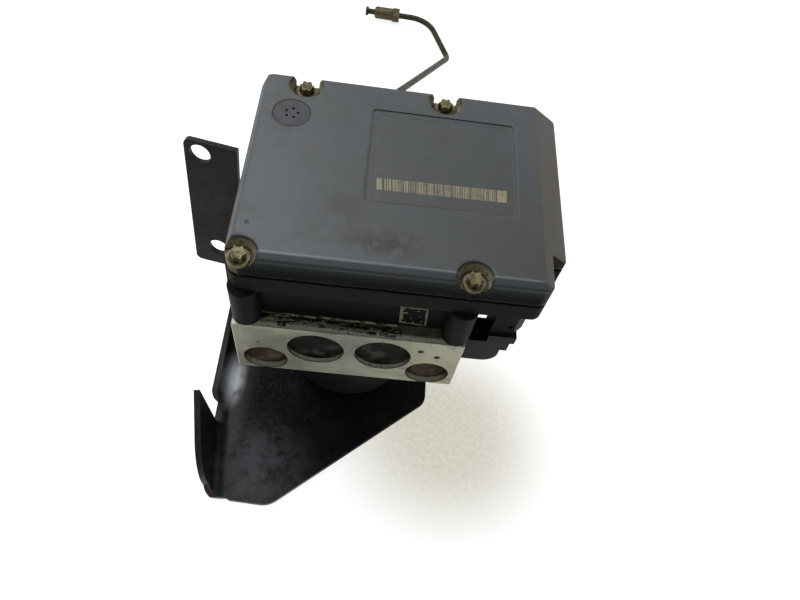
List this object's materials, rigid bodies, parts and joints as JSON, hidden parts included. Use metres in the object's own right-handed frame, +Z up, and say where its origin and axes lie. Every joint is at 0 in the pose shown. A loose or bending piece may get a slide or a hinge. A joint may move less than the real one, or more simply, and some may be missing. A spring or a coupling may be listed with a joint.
{
  "type": "abs brake module",
  "caption": "Anti-lock brake module: aluminium valve block with pump motor below and electronic controller on top, on a bent steel bracket, with one bent brake pipe and tube nut.",
  "frame": {"origin": "on the pump motor's axis, in the plane of the bracket's underside", "axes": "+Z up along the motor's axis from bracket to controller cover, +Y from the face with the round accumulator caps to the face with the pipe ports, +X towards the harness socket"},
  "size_m": [0.1884, 0.45, 0.1696],
  "materials": {
    "cover_plastic": "satin moulded plastic, grey",
    "housing_plastic": "satin moulded plastic, dark grey",
    "seal_rubber": "matt black",
    "breather_plastic": "satin moulded plastic, grey",
    "board_laminate": "coated laminate",
    "pin_brass": "tinned",
    "coil_plastic": "moulded over copper windings",
    "screw_steel": "zinc plated, dirty",
    "block_aluminium": "machined, dulled",
    "cap_steel": "turned, stained",
    "valve_steel": "turned",
    "spring_steel": "drawn wire",
    "piston_metal": "turned",
    "can_steel": "black coated drawn steel",
    "flange_steel": "pressed",
    "shaft_steel": "ground",
    "core_steel": "laminated, varnished",
    "winding_copper": "enamelled copper wire",
    "commutator_copper": "copper bars",
    "magnet_ferrite": "sintered",
    "brush_carbon": "carbon",
    "holder_plastic": "moulded",
    "bush_bronze": "sintered bronze",
    "plug_plastic": "moulded, black",
    "bracket_paint": "worn black coating with rust",
    "mount_rubber": "matt black",
    "bolt_steel": "zinc plated",
    "pipe_steel": "coated steel tube, greenish grey",
    "nut_steel": "yellow zinc plated"
  },
  "bodies": {
    "module": {"controller_cover": "cover_plastic", "cover_seal": "seal_rubber", "controller_housing": "housing_plastic", "breather_disc": "breather_plastic", "circuit_board": "board_laminate", "connector_pins": "pin_brass", "solenoid_coils": "coil_plastic", "housing_gasket": "seal_rubber", "cover_screws": "screw_steel", "valve_block": "block_aluminium", "inlet_valves": "valve_steel", "outlet_valves": "valve_steel", "accumulator_cap_left": "cap_steel", "accumulator_cap_right": "cap_steel", "accumulator_spring_left": "spring_steel", "accumulator_spring_right": "spring_steel", "damper_plug_left": "cap_steel", "damper_plug_right": "cap_steel", "pump_spring_left": "spring_steel", "pump_spring_right": "spring_steel", "pump_plug_left": "valve_steel", "pump_plug_right": "valve_steel", "motor_can": "can_steel", "motor_flange": "flange_steel", "motor_screws": "bolt_steel", "motor_magnets": "magnet_ferrite", "brush_holder": "holder_plastic", "brushes": "brush_carbon", "brush_springs": "spring_steel", "rear_bush": "bush_bronze", "bearing_outer": "shaft_steel", "bearing_balls": "shaft_steel", "motor_plug": "plug_plastic", "bracket": "bracket_paint", "rubber_mounts": "mount_rubber", "mount_sleeves": "bolt_steel", "mount_bolts": "bolt_steel", "brake_pipe": "pipe_steel", "pipe_nut_block": "nut_steel"},
    "rotor": {"armature_shaft": "shaft_steel", "armature_core": "core_steel", "armature_windings": "winding_copper", "commutator": "commutator_copper", "bearing_inner": "shaft_steel"},
    "pump_ring": {"pump_ring": "shaft_steel"},
    "pump_piston_left": {"pump_piston_left": "shaft_steel"},
    "pump_piston_right": {"pump_piston_right": "shaft_steel"},
    "accumulator_piston_left": {"accumulator_piston_left": "piston_metal"},
    "accumulator_piston_right": {"accumulator_piston_right": "piston_metal"},
    "pipe_nut_free": {"pipe_nut_free": "nut_steel"}
  },
  "joints": [
    {"name": "rotor_spin", "type": "hinge", "parent": "module", "child": "rotor", "pos_m": [0, 0, 0.05], "axis": [0, 0, 1], "continuous": true},
    {"name": "pump_ring_spin", "type": "hinge", "parent": "rotor", "child": "pump_ring", "pos_m": [0, 0.001, 0.0939], "axis": [0, 0, 1], "continuous": true},
    {"name": "pump_piston_left_slide", "type": "slide", "parent": "module", "child": "pump_piston_left", "axis": [1, 0, 0], "range_m": [0, 0.001], "deforming": ["pump_spring_left"]},
    {"name": "pump_piston_right_slide", "type": "slide", "parent": "module", "child": "pump_piston_right", "axis": [-1, 0, 0], "range_m": [0, 0.001], "deforming": ["pump_spring_right"]},
    {"name": "accumulator_piston_left_slide", "type": "slide", "parent": "module", "child": "accumulator_piston_left", "axis": [0, -1, 0], "range_m": [0, 0.009], "stiffness_N_per_m": 900, "springref_m": -0.004, "deforming": ["accumulator_spring_left"]},
    {"name": "accumulator_piston_right_slide", "type": "slide", "parent": "module", "child": "accumulator_piston_right", "axis": [0, -1, 0], "range_m": [0, 0.009], "stiffness_N_per_m": 900, "springref_m": -0.004, "deforming": ["accumulator_spring_right"]},
    {"name": "pipe_nut_free_slide", "type": "slide", "parent": "module", "child": "pipe_nut_free", "axis": [-0.9997, 0.023, 0.0035], "range_m": [-0.008, 0.0052]}
  ]
}
